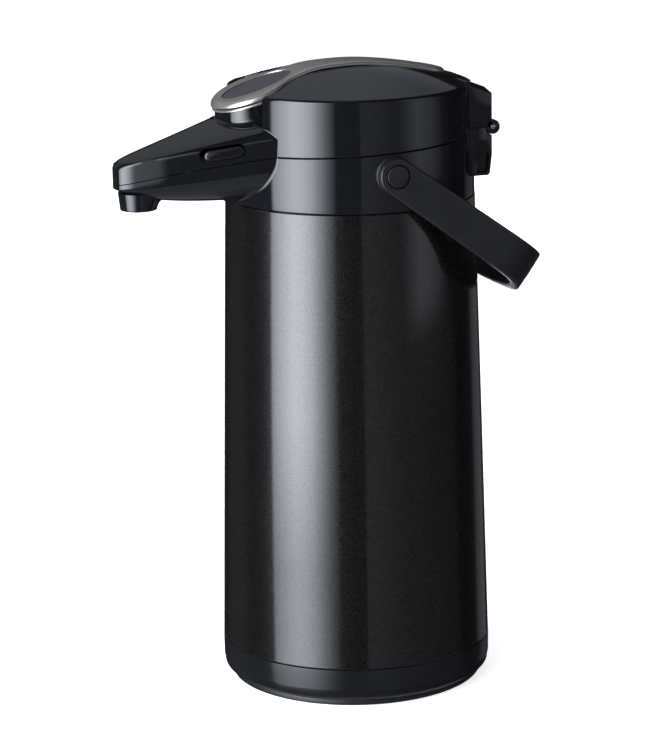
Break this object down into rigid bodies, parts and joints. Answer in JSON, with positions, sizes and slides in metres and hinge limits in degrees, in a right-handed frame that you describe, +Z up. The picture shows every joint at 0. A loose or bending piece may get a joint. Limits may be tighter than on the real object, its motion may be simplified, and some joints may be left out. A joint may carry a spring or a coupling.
{
  "type": "thermal coffee airpot",
  "caption": "Tapered vacuum flask with a lever pump in its hinged lid, a beak-shaped spout, a swivel foot and a fold-back carrying bail.",
  "frame": {"origin": "centre of the flat underside of the swivel foot, on the flask's axis", "axes": "+Z up along the flask's axis, -Y towards the spout, +Y towards the lid hinge, X along the handle pivots"},
  "size_m": [0.1616, 0.2432, 0.3677],
  "materials": {
    "casing": "metallic charcoal paint, smooth gloss",
    "gloss_black": "moulded gloss black",
    "matte_black": "satin black",
    "inner_plastic": "plain moulded",
    "clear_plastic": "translucent natural plastic",
    "silver": "satin silver coating",
    "inlay": "satin dark grey",
    "steel": "stainless",
    "rubber": "matte",
    "silicone": "matte"
  },
  "bodies": {
    "swivel_base": {"swivel_foot": "matte_black", "anti_slip_ring": "rubber", "swivel_washer": "steel", "swivel_screw": "steel"},
    "pot": {"base_ring": "matte_black", "liner_cushion": "rubber", "outer_casing": "casing", "flask_outer_wall": "steel", "flask_inner_wall": "steel", "vacuum_seal_cap": "steel", "neck_gasket": "silicone", "shoulder_collar": "gloss_black", "hinge_bracket": "gloss_black", "hinge_pin": "steel", "handle_boss_left": "matte_black", "handle_boss_right": "matte_black", "stopper_plug": "inner_plastic", "dip_tube": "clear_plastic", "valve_cage": "inner_plastic", "spout_pipe": "clear_plastic"},
    "check_ball": {"valve_ball": "steel"},
    "handle": {"handle_bail": "matte_black", "handle_button_left": "matte_black", "handle_button_right": "matte_black"},
    "lid": {"lid_shell": "gloss_black", "lid_hinge_cover": "gloss_black", "lid_pan": "inner_plastic", "lid_seal": "silicone", "bellows": "silicone", "pump_spring": "steel", "lever_pivot_pin": "steel", "latch_spring_left": "steel", "latch_spring_right": "steel"},
    "lever": {"lever_plate": "silver", "lever_inlay": "inlay", "lever_arm": "gloss_black", "lever_skirt": "gloss_black"},
    "press_plate": {"press_plate": "inner_plastic"},
    "latch_left": {"latch_tab_left": "gloss_black"},
    "latch_right": {"latch_tab_right": "gloss_black"}
  },
  "joints": [
    {"name": "base_swivel", "type": "hinge", "parent": "swivel_base", "child": "pot", "pos_m": [0, 0, 0], "axis": [0, 0, 1], "continuous": true},
    {"name": "lid_hinge", "type": "hinge", "parent": "pot", "child": "lid", "pos_m": [0, 0.0733, 0.3292], "axis": [-1, 0, 0], "range_deg": [0, 95]},
    {"name": "handle_swing", "type": "hinge", "parent": "pot", "child": "handle", "pos_m": [0, 0, 0.3117], "axis": [1, 0, 0], "range_deg": [0, 198]},
    {"name": "lever_press", "type": "hinge", "parent": "lid", "child": "lever", "pos_m": [0, 0.0635, 0.349], "axis": [1, 0, 0], "range_deg": [0, 6], "stiffness_Nm_per_rad": 12},
    {"name": "plate_slide", "type": "slide", "parent": "lid", "child": "press_plate", "axis": [0, 0, -1], "range_m": [0, 0.0066], "deforming": ["bellows", "pump_spring"]},
    {"name": "latch_left_slide", "type": "slide", "parent": "lid", "child": "latch_left", "axis": [-1, 0, 0], "range_m": [0, 0.0022], "stiffness_N_per_m": 600},
    {"name": "latch_right_slide", "type": "slide", "parent": "lid", "child": "latch_right", "axis": [1, 0, 0], "range_m": [0, 0.0022], "stiffness_N_per_m": 600},
    {"name": "ball_lift", "type": "slide", "parent": "pot", "child": "check_ball", "axis": [0, 0, -1], "range_m": [0, 0.002]}
  ],
  "couplings": [
    {"joint": "plate_slide", "follows": "lever_press", "m_per_rad": 0.062}
  ]
}
